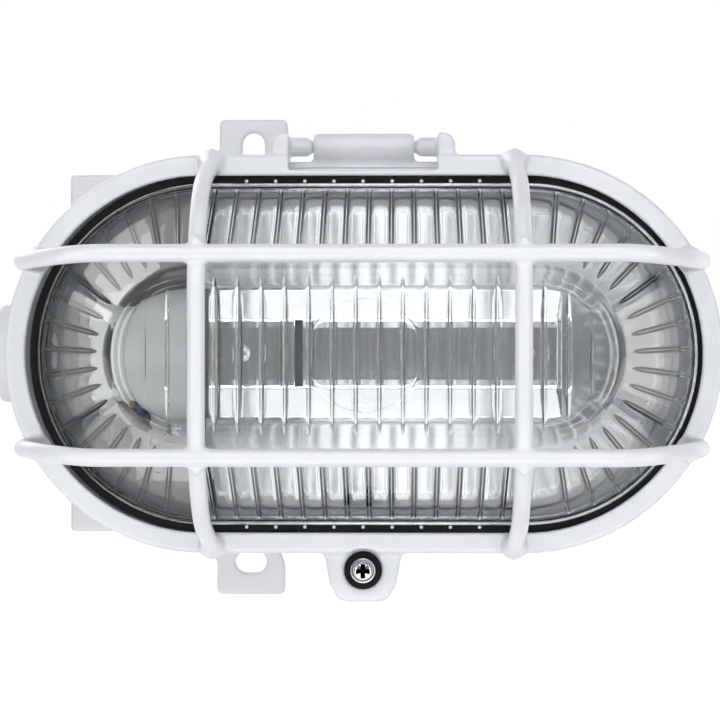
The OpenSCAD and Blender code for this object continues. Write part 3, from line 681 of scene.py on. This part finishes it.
def domeSections():
    # sections from the front patch down the outside, round the flange and up the inside
    fillet = lens["footFillet"]
    edge = lens["edgeRound"]
    rim = lens["flangeR"]
    filletC = (footR + fillet * (1 - sideNormal[1]) / sideNormal[0], flangeTop + fillet)
    spigotR = footR + lens["spigotOut"]
    bevel = lens["spigotBevel"]
    steps = lensMesh["edgeSteps"]
    outside = arc((shoulderR, shoulderZ), lens["shoulder"], 90 - lens["capAngle"], sideTurn,
                  lensMesh["shoulderSteps"])
    outside += arc(filletC, fillet, 180 + sideTurn, 270, lensMesh["filletSteps"])
    outside += arc((rim - edge, flangeTop - edge), edge, 90, 0, steps)
    outside += arc((rim - edge, flangeBack + edge), edge, 0, -90, steps)
    outside += [(spigotR + bevel, flangeBack), (spigotR, flangeBack - bevel)]
    outside += arc((spigotR - edge, lens["back"] + edge), edge, 0, -90, steps)
    outside += arc((wallR + edge, lens["back"] + edge), edge, 270, 180, steps)
    outside.append((wallR, flangeTop - lens["ribFoot"]))
    plain = (0.0, 0.0)
    return [(r, z, lensMesh["evenWidth"], 0.0, plain) for r, z in outside] + ribbedSections()


def ribbedSections():
    # the inside, by its distance past the line where the slope meets the shoulder
    top = (innerR + innerRound * sideNormal[0], innerZ + innerRound * sideNormal[1])
    length = (top[1] - flangeTop) / sideNormal[0]
    tip = lens["tipPast"]
    arcEnd = innerRound * math.radians(90 - lens["capAngle"] - sideTurn)
    lineSteps, roundSteps = lensMesh["lineSteps"], lensMesh["roundSteps"]
    past = [-length + foot for foot in lensMesh["feet"]]
    past += [-length * share for share in lensMesh["slopes"]]
    past += [tip - lens["tipLength"] * rest for rest in lensMesh["tips"]]
    past += [tip * (1 - step / lineSteps) for step in range(1, lineSteps + 1)]
    past += [arcEnd * step / roundSteps for step in range(1, roundSteps + 1)]
    sections = []
    for place in past:
        width, height = tipTaper(tip - place, lens["tipLength"])
        height *= min((place + length) / lens["ribRise"], 1.0)
        if place > tip:
            width = lensMesh["evenWidth"] * (place - tip) / (arcEnd - tip)
        if place < 0:
            share = -place / length
            spot = (top[0] + (wallR - top[0]) * share, top[1] + (flangeTop - top[1]) * share)
            normal = sideNormal
        else:
            angle = math.radians(sideTurn) + place / innerRound
            normal = (math.cos(angle), math.sin(angle))
            spot = (innerR + innerRound * normal[0], innerZ + innerRound * normal[1])
        sections.append((*spot, max(width, lens["tipWidth"]), height, normal))
    return sections


def spineDistance(x, y, spine):
    return math.hypot(max(abs(x) - spine, 0.0), y)


def domeHeight(x, y, radius, startR, startZ):
    out = max(spineDistance(x, y, lens["spine"]) - startR, 0.0)
    return startZ + math.sqrt(max(radius * radius - out * out, 0.0))


def frontHeight(x, y):
    ring = (math.hypot(x, y) - lens["markRadius"]) / lens["markHalf"]
    plain = domeHeight(x, y, lens["shoulder"], shoulderR, shoulderZ)
    return plain + lens["markHeight"] * ribShape(ring)


def insideHeight(x, y):
    cell = math.floor((x - lens["ribShift"]) / lens["ribPitch"])
    middle = lens["ribShift"] + (cell + 0.5) * lens["ribPitch"]
    rest = lens["frontReach"] - spineDistance(x, y, lens["frontSpine"])
    width, height = tipTaper(rest, lens["tipLength"])
    plain = domeHeight(x, y, innerRound, innerR, innerZ)
    if width < lens["ribGone"]:
        return plain
    return plain - lens["frontHeight"] * height * ribShape((x - middle) / (lens["frontHalf"] * width))


def patchPoints(columns, rows, radius):
    reach = radius - lensMesh["rimGap"]
    return [(x, y) for x in columns for y in rows if spineDistance(x, y, lens["spine"]) < reach]


def addPatch(mesher, radius, width, inside, heightAt):
    # a triangulated patch that fills one loop of the dome
    ring = [(x, y) for x, y, bump in ovalLoop(radius, width)]
    points, faces = triangulated(ring + inside, ringEdges(0, len(ring)))
    spots = [addPoint(mesher, p.x + lens["middle"], p.y, heightAt(p.x, p.y)) for p in points]
    for face in faces:
        mesher.faces.new([spots[i] for i in face])


def frontPoints(radius):
    # an even grid, left free near the round mark, which has rings of its own
    reach = lens["spine"] + radius
    acrossStep, upStep = lensMesh["front"]
    mark, half = lens["markRadius"], lens["markHalf"]
    free = half + lensMesh["markGap"]
    columns, rows = steppedRange(-reach, reach, acrossStep), steppedRange(-radius, radius, upStep)
    grid = patchPoints(columns, rows, radius)
    points = [(x, y) for x, y in grid if abs(math.hypot(x, y) - mark) >= free]
    steps, turns = lensMesh["markSteps"], lensMesh["markTurns"]
    for step in range(-steps, steps + 1):
        ring = mark + half * step / steps
        for turn in range(turns):
            angle = math.tau * turn / turns
            points.append((ring * math.cos(angle), ring * math.sin(angle)))
    return points


def ribPoints(radius):
    count = int((lens["spine"] + radius) / lens["ribPitch"]) + 1
    columns = []
    for rib in range(-count, count):
        middle = lens["ribShift"] + (rib + 0.5) * lens["ribPitch"]
        columns += [middle + step * lens["frontHalf"] for step in lensMesh["ribSteps"]]
        columns += [middle + lens["ribPitch"] * share for share in lensMesh["frontGaps"]]
    return patchPoints(columns, steppedRange(-radius, radius, lensMesh["ribRow"]), radius)


def makeLens():
    mesher = bmesh.new()
    loops = []
    sections = domeSections()
    for r, z, width, height, normal in sections:
        loop = []
        for x, y, bump in ovalLoop(r, width):
            rise = lens["sideHeight"] * height * bump
            if rise > 0:
                pull = 1 - rise * normal[0] / spineDistance(x, y, lens["spine"])
                side = math.copysign(min(abs(x), lens["spine"]), x)
                x = side + (x - side) * pull
                y = y * pull
            loop.append(addPoint(mesher, x + lens["middle"], y, z - rise * normal[1]))
        loops.append(loop)
    joinLoops(mesher, loops)
    outerCap, innerCap = sections[0], sections[-1]
    addPatch(mesher, outerCap[0], outerCap[2], frontPoints(outerCap[0]), frontHeight)
    addPatch(mesher, innerCap[0], innerCap[2], ribPoints(innerCap[0]), insideHeight)
    weld(mesher)
    faceOut(mesher)
    openEdges = sum(1 for edge in mesher.edges if not edge.is_manifold)
    piece = pieceFrom(mesher, "ribbedLens", "pressedGlass")
    print("lens:", len(piece.data.polygons), "faces,", openEdges, "open edges")
    return piece


lensPiece = makeLens()
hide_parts("glass_lens")
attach(lensPiece, "cover")


# Rubber lip of the gasket round the foot of the dome, with small pips made of white plastic, a painted
# highlight that stands in for the glints on the glass pips

lip = {"innerR": 48.1, "outerR": 49.8, "height": 0.45, "sink": 0.05, "edgeRound": 0.2,
       "edgeSteps": 4, "endSteps": 48, "sharp": 50.0}
pips = {"row": 48.7, "pitch": 8.2, "count": 4, "radius": 0.5, "height": 0.4, "sink": 0.2,
        "domeTurns": (0.0, 0.5, 1.0, 1.35), "turns": 12}


def ovalPath(radius, steps):
    spots = []
    for side in (1, -1):
        for step in range(steps + 1):
            angle = math.radians(90 - 180 * step / steps) + (0 if side == 1 else math.pi)
            spots.append((side * lens["spine"] + radius * math.cos(angle), radius * math.sin(angle)))
    return spots


def makeLip():
    mesher = bmesh.new()
    edge = lip["edgeRound"]
    foot, top = flangeTop - lip["sink"], flangeTop + lip["height"]
    profile = [(lip["innerR"], foot)]
    profile += arc((lip["innerR"] + edge, top - edge), edge, 180, 90, lip["edgeSteps"])
    profile += arc((lip["outerR"] - edge, top - edge), edge, 90, 0, lip["edgeSteps"])
    profile.append((lip["outerR"], foot))
    loops = []
    for r, z in profile:
        path = ovalPath(r, lip["endSteps"])
        loops.append([addPoint(mesher, x + lens["middle"], y, z) for x, y in path])
    joinLoops(mesher, loops + loops[:1])
    faceOut(mesher)
    return pieceFrom(mesher, "gasketLip", "sealRubber", lip["sharp"])


def makeGlintPips():
    mesher = bmesh.new()
    radius, height = pips["radius"], pips["height"]
    dome = [(radius * math.cos(a), height * math.sin(a)) for a in pips["domeTurns"]]
    profile = [(radius, -pips["sink"])] + dome + [(0.0, height)]
    for side in (-1, 1):
        for pip in range(-pips["count"], pips["count"] + 1):
            place = (pip * pips["pitch"], side * pips["row"], flangeTop + lip["height"])
            addLathe(mesher, profile, place, pips["turns"], closed=True)
    # painted highlight: the pips take the white plastic so that they show as glints
    return pieceFrom(mesher, "flangeGlintPips", "guardPlastic")


lipPiece = makeLip()
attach(lipPiece, "cover")
glintPipPiece = makeGlintPips()
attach(glintPipPiece, "cover")
print("gasket lip and pips set")


# Reflector: one pressed tray with a shallow trough

trayLow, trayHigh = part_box("reflector")
sheet = 0.8  # mm
tray = {
    "outerR": trayHigh.z / mm,
    "end": trayHigh.x / mm,
    "tongue": trayLow.x / mm,
    "cut": (-47.3, -48.5),  # left edge below and above the tongue
    "top": -trayLow.y / mm,
    "floor": -trayHigh.y / mm + sheet,
    "troughHalf": 18.8,
    "troughSlope": 0.52,
    "floorBend": 1.2,
    "tongueHalf": 19.5,
    "troughEnd": 57.0,
    "endSlope": 4.0,
    "bend": 0.3,
    "slot": (-21.0, -17.4, 10.0),  # left, right and half height
    "sharp": 40.0,
}
trayMesh = {
    "edgeGap": 0.3,
    "slotGap": 0.2,
    "endSteps": 60,
    "column": 1.8,
    "endColumn": 2.4,
    "row": 0.8,
    "rimRow": 2.6,
    "wallFrom": 1.5,  # the even columns stop this far before the end wall
    "wallTo": 5.0,
    "wallColumns": (-1.0, -0.6, -0.3, 0.0, 0.3, 0.6, 0.85, 1.05, 1.2, 1.35, 1.6, 2.2, 3.2),
    "lipFrom": 2.0,  # the even rows stop this far before the trough's lip
    "lipTo": 3.0,
    "lipRows": (-1.2, -0.7, -0.35, 0.0, 0.35, 0.7, 1.2),
}
traySpine = tray["end"] - tray["outerR"]
flatHalf = tray["troughHalf"] - (tray["top"] - tray["floor"]) / tray["troughSlope"]


def softMin(a, b, soft):
    share = max(soft - abs(a - b), 0.0) / soft
    return min(a, b) - share * share * soft / 4


def trayHeight(x, y):
    side = tray["floor"] + tray["troughSlope"] * (abs(y) - flatHalf)
    side = -softMin(-side, -tray["floor"], tray["floorBend"])
    wall = tray["floor"] + tray["endSlope"] * (x - tray["troughEnd"])
    return softMin(-softMin(-side, -wall, tray["bend"]), tray["top"], tray["bend"])


def trayOutline():
    tongue, half, r = tray["tongue"], tray["tongueHalf"], tray["outerR"]
    low, high = tray["cut"]
    spots = [(high, half), (tongue, half), (tongue, -half), (low, -half), (low, -r)]
    steps = trayMesh["endSteps"]
    for step in range(steps + 1):
        angle = math.radians(-90 + 180 * step / steps)
        spots.append((traySpine + r * math.cos(angle), r * math.sin(angle)))
    return spots + [(high, r)]


def insideTray(x, y):
    gap = trayMesh["edgeGap"]
    if x < tray["cut"][y > 0] + gap:
        return x > tray["tongue"] + gap and abs(y) < tray["tongueHalf"] - gap
    return math.hypot(max(x - traySpine, 0.0), y) < tray["outerR"] - gap


def inSlot(x, y, gap):
    left, right, half = tray["slot"]
    return left - gap < x < right + gap and abs(y) < half + gap


def trayPoints():
    # a grid that is finer at the end wall and at the trough's lips
    wall, lipAt = tray["troughEnd"], tray["troughHalf"]
    columns = steppedRange(tray["tongue"], wall - trayMesh["wallFrom"], trayMesh["column"])
    columns += [wall + step for step in trayMesh["wallColumns"]]
    columns += steppedRange(wall + trayMesh["wallTo"], tray["end"], trayMesh["endColumn"])
    upper = steppedRange(0.0, lipAt - trayMesh["lipFrom"], trayMesh["row"])
    upper += [lipAt + step for step in trayMesh["lipRows"]]
    upper += steppedRange(lipAt + trayMesh["lipTo"], tray["outerR"], trayMesh["rimRow"])
    rows = [-y for y in upper[1:]] + upper
    gap = trayMesh["slotGap"]
    return [(x, y) for x in columns for y in rows if insideTray(x, y) and not inSlot(x, y, gap)]


def makeTray():
    outline = trayOutline()
    left, right, half = tray["slot"]
    slot = [(left, -half), (right, -half), (right, half), (left, half)]
    edges = ringEdges(0, len(outline)) + ringEdges(len(outline), len(slot))
    points, faces = triangulated(outline + slot + trayPoints(), edges)
    mesher = bmesh.new()
    spots = [addPoint(mesher, p.x, p.y, trayHeight(p.x, p.y)) for p in points]
    for face in faces:
        x = sum(points[i].x for i in face) / len(face)
        y = sum(points[i].y for i in face) / len(face)
        if not inSlot(x, y, 0.0):
            mesher.faces.new([spots[i] for i in face])
    loose = [vert for vert in mesher.verts if not vert.link_faces]
    bmesh.ops.delete(mesher, geom=loose, context="VERTS")
    faceOut(mesher)
    if sum(face.normal.y for face in mesher.faces) > 0:
        bmesh.ops.reverse_faces(mesher, faces=mesher.faces)
    blank = pieceFrom(mesher, "trayBlank", "rolledAluminium")
    thick = blank.modifiers.new("sheet", "SOLIDIFY")
    thick.thickness = sheet * mm
    thick.offset = -1.0
    mesh = settledMesh(blank)
    mesh.set_sharp_from_angle(angle=math.radians(tray["sharp"]))
    print("tray:", len(mesh.polygons), "faces")
    return addObject("pressedTray", mesh)


trayPiece = makeTray()
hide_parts("reflector")
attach(trayPiece, "base")


# Closing screw and its washer

screwLow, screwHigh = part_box("closing_screw")
washerLow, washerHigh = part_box("screw_washer")
screw = {
    "place": ((screwLow.x + screwHigh.x) / 2 / mm, (screwLow.z + screwHigh.z) / 2 / mm),
    "seat": -washerLow.y / mm,
    "top": -screwLow.y / mm,
    "tip": -screwHigh.y / mm,
    "headR": (screwHigh.x - screwLow.x) / 2 / mm,
    "domeR": 5.0,
    "domeEdge": 2.45,
    "domeSteps": 8,
    "chamfer": 0.15,
    "collarH": 0.75,
    "collarRound": 0.3,
    "collarSteps": 4,
    "collarIn": 0.62,  # from the dome's edge to the collar, the groove and the steep side
    "grooveOut": 0.3,
    "grooveIn": 0.18,
    "sideOut": 0.12,
    "sideDrop": 0.2,
    "groove": 0.4,
    "headTurns": 72,
    "majorR": 2.0,
    "minorR": 1.64,
    "pitch": 0.7,
    "crest": 2.6,
    "neck": 1.4,  # plain length under the head
    "sink": 0.05,
    "point": 0.6,  # length and slope of the tip's chamfer
    "pointSlope": 0.8,
    "turns": 32,
    "rows": 10,  # rows of points to a pitch
    "armLength": 2.25,
    "armHalf": 0.66,
    "armDepth": 2.1,
    "armTaper": 0.16,
    "armFlare": 1.06,
    "armAbove": 0.3,
    "armBelow": 0.25,
    # painted shade inside the cross recess
    "recessShadeTone": (0.012, 0.012, 0.013),
    "recessSkin": 0.12,  # the dark starts this far under the dome
    "recessCurve": 1.85,
    "sharp": 35.0,
}
washer = {
    "back": -washerHigh.y / mm,
    "outerR": (washerHigh.x - washerLow.x) / 2 / mm,
    "innerR": 2.35,
    "edgeRound": 0.42,
    "innerSteps": 3,
    "outerSteps": 5,
    "turns": 80,
}


def paintRecessShade(material, look):
    # painted shade: the cross recess is coloured dark below the dome's skin
    tree = material.node_tree
    shader = tree.nodes["Principled BSDF"]
    x, y, z = axisValues(tree)
    right = mathNode(tree, "SUBTRACT", x, look["place"][0] * mm)
    up = mathNode(tree, "SUBTRACT", z, look["place"][1] * mm)
    square = squareSum(tree, right, up)
    depth = mathNode(tree, "ADD", y, (look["top"] - look["recessSkin"]) * mm)
    skin = mathNode(tree, "DIVIDE", square, look["recessCurve"] * look["domeR"] * mm)
    below = mathNode(tree, "GREATER_THAN", depth, skin)
    within = mathNode(tree, "LESS_THAN", square, (look["domeEdge"] * mm) ** 2)
    over = mathNode(tree, "LESS_THAN", depth, look["armDepth"] * mm)
    paintShade(tree, shader, allOf(tree, below, within, over), look["recessShadeTone"])


paintRecessShade(materials["brightPlate"], screw)


def headProfile():
    # a collar, a groove inside it, a steep side and a low dome
    height = screw["top"] - screw["seat"]
    rim, collar, dome, edge = screw["headR"], screw["collarH"], screw["domeR"], screw["domeEdge"]
    chamfer, bend, groove = screw["chamfer"], screw["collarRound"], collar - screw["groove"]
    fall = dome - math.sqrt(dome ** 2 - edge ** 2)
    points = [(screw["majorR"], 0.0), (rim - chamfer, 0.0), (rim, chamfer)]
    points += arc((rim - bend, collar - bend), bend, 0, 90, screw["collarSteps"])
    points += [(edge + screw["collarIn"], collar), (edge + screw["grooveOut"], groove)]
    points.append((edge + screw["grooveIn"], groove))
    points.append((edge + screw["sideOut"], height - fall - screw["sideDrop"]))
    for step in range(screw["domeSteps"] + 1):
        r = edge * (1 - step / screw["domeSteps"])
        points.append((r, height - dome + math.sqrt(dome ** 2 - r * r)))
    return points


def makeHead():
    mesher = bmesh.new()
    addLathe(mesher, headProfile(), (*screw["place"], screw["seat"]), screw["headTurns"], closed=True)
    head = pieceFrom(mesher, "headBlank", "brightPlate")
    mesher = bmesh.new()
    right, up = screw["place"]
    top, long, half = screw["top"], screw["armLength"], screw["armHalf"]
    cross = [(half, half), (half, long), (-half, long), (-half, half), (-long, half), (-long, -half),
             (-half, -half), (-half, -long), (half, -long), (half, -half), (long, -half), (long, half)]
    levels = [(screw["armFlare"], top + screw["armAbove"]), (1.0, top - screw["armBelow"]),
              (screw["armTaper"], top - screw["armDepth"])]
    rings = []
    for scale, z in levels:
        rings.append([addPoint(mesher, right + x * scale, up + y * scale, z) for x, y in cross])
    closeTube(mesher, rings)
    cutter = pieceFrom(mesher, "crossCutter", "brightPlate")
    cut = head.modifiers.new("cross", "BOOLEAN")
    cut.operation = "DIFFERENCE"
    cut.object = cutter
    cut.solver = "EXACT"
    mesh = settledMesh(head)
    bpy.data.objects.remove(cutter)
    return mesh


def makeScrew():
    # the head with its cross recess, and a shank with a rolled thread
    mesher = bmesh.new()
    mesher.from_mesh(makeHead())
    turns, pitch, major = screw["turns"], screw["pitch"], screw["majorR"]
    low, high = screw["tip"], screw["seat"] + screw["sink"]
    right, up = screw["place"]
    count = int((high - low) / pitch * screw["rows"])
    rings = []
    for row in range(count + 1):
        z = low + (high - low) * row / count
        ring = []
        for turn in range(turns):
            angle = math.tau * turn / turns
            phase = (z / pitch + turn / turns) % 1.0
            crest = min(1.0, screw["crest"] * abs(phase - 0.5))
            depth = min(1.0, max(0.0, (screw["seat"] - screw["neck"] - z) / pitch))
            r = major - (major - screw["minorR"]) * depth * (1 - crest)
            r -= max(0.0, screw["point"] - (z - low)) * screw["pointSlope"]
            ring.append(addPoint(mesher, right + r * math.cos(angle), up + r * math.sin(angle), z))
        rings.append(ring)
    closeTube(mesher, rings)
    return pieceFrom(mesher, "crossScrew", "brightPlate", screw["sharp"])


def makeWasher():
    mesher = bmesh.new()
    height = screw["seat"] - washer["back"]
    edge = washer["edgeRound"]
    inner, outer = washer["innerR"] + edge, washer["outerR"] - edge
    profile = arc((inner, edge), edge, 180, 270, washer["innerSteps"])
    profile += arc((outer, edge), edge, 270, 360, washer["outerSteps"])
    profile += arc((outer, height - edge), edge, 0, 90, washer["outerSteps"])
    profile += arc((inner, height - edge), edge, 90, 180, washer["innerSteps"])
    addLathe(mesher, profile + profile[:1], (*screw["place"], washer["back"]), washer["turns"])
    weld(mesher)
    faceOut(mesher)
    return pieceFrom(mesher, "sealWasher", "sealRubber")


screwPiece = makeScrew()
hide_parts("closing_screw")
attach(screwPiece, "screw")
washerPiece = makeWasher()
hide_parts("screw_washer")
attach(washerPiece, "washer")
print("screw and washer made")


# Stage and light

stage = {"floorDrop": 300.0, "floorSide": 24.0, "floorFront": 0.46, "floorTone": 0.8, "floorRough": 0.9,
         "floorLift": 0.85}


def mirroredRays(tree):
    path = addNode(tree, "ShaderNodeLightPath")
    mirrored = mathNode(tree, "MAXIMUM", path.outputs["Is Glossy Ray"], path.outputs["Is Transmission Ray"])
    return mirrored, path.outputs["Is Camera Ray"]


def makeFloor(look):
    mesh = bpy.data.meshes.new("floor")
    half = look["floorSide"] / 2
    height = -look["floorDrop"] * mm
    front = -look["floorFront"]
    corners = [(-half, front, height), (half, front, height), (half, half, height), (-half, half, height)]
    mesh.from_pydata(corners, [], [(0, 1, 2, 3)])
    floor = addObject("floor", mesh)
    material, tree, shader = startMaterial("floorPaper")
    shader.inputs["Base Color"].default_value = (*[look["floorTone"]] * 3, 1.0)
    shader.inputs["Roughness"].default_value = look["floorRough"]
    shader.inputs["Emission Color"].default_value = (1.0, 1.0, 1.0, 1.0)
    seen = mathNode(tree, "MAXIMUM", *mirroredRays(tree))
    tree.links.new(mathNode(tree, "MULTIPLY", seen, look["floorLift"]), shader.inputs["Emission Strength"])
    mesh.materials.append(material)


# light from in front and from behind, and where one goes over into the other
sky = {"fill": (0.11, 0.60), "mirrored": (0.25, 1.0), "edge": (0.0, 0.45)}


def makeWorld(look):
    # white to the camera, and darker in front than behind for mirrored light and for the fill
    world = bpy.data.worlds.new("studio")
    scene.world = world
    world.use_nodes = True
    tree = world.node_tree
    tree.nodes.clear()
    output = tree.nodes.new("ShaderNodeOutputWorld")
    where = addNode(tree, "ShaderNodeTexCoord")
    split = addNode(tree, "ShaderNodeSeparateXYZ")
    tree.links.new(where.outputs["Generated"], split.inputs[0])
    mix = addNode(tree, "ShaderNodeMix")
    mirrored, direct = mirroredRays(tree)
    tree.links.new(mirrored, mix.inputs[0])
    for index, levels in ((valueA, look["fill"]), (valueB, look["mirrored"])):
        tree.links.new(spread(tree, split.outputs["Y"], *levels, *look["edge"]), mix.inputs[index])
    background = addNode(tree, "ShaderNodeBackground", values={"Color": (1.0, 1.0, 1.0, 1.0)})
    tree.links.new(mathNode(tree, "MAXIMUM", mix.outputs[0], direct), background.inputs["Strength"])
    tree.links.new(background.outputs[0], output.inputs["Surface"])


lamps = {
    "upperPanel": {"place": (0, 240, 480), "size": (0.5, 0.08), "power": 0.55},
    "lowerPanel": {"place": (0, -240, 480), "size": (0.5, 0.08), "power": 0.55},
    "leftPanel": {"place": (-420, 0, 430), "size": (0.1, 0.5), "power": 0.8},
    "rightPanel": {"place": (420, 0, 430), "size": (0.1, 0.5), "power": 0.8},
    "topPanel": {"place": (10, 640, 470), "size": (0.8, 0.54), "power": 1.6},
    "backPanel": {"place": (-560, 520, -560), "size": (0.6, 0.6), "power": 1.6},
    "backFill": {"place": (620, 60, -420), "size": (0.5, 0.6), "power": 0.6},
    "upperStrip": {"place": (3, 177, 720), "size": (0.095, 0.3), "power": 0.115},
    "lowerStrip": {"place": (3, -177, 720), "size": (0.095, 0.3), "power": 0.115},
    "upperSide": {"place": (90, 177, 720), "size": (0.08, 0.3), "power": 0.036},
    "lowerSide": {"place": (90, -177, 720), "size": (0.08, 0.3), "power": 0.036},
}
lampAim = (0, 0, 40)


def makeLamp(name, look):
    data = bpy.data.lights.new(name, "AREA")
    data.shape = "RECTANGLE"
    data.size, data.size_y = look["size"]
    data.energy = look["power"]
    lamp = addObject(name, data)
    lamp.location = standUp(*look["place"])
    lamp.visible_camera = False
    aim = standUp(*lampAim) - lamp.location
    lamp.rotation_euler = aim.to_track_quat("-Z", "Y").to_euler()


makeFloor(stage)
makeWorld(sky)
for name, look in lamps.items():
    makeLamp(name, look)
print("stage and light set")
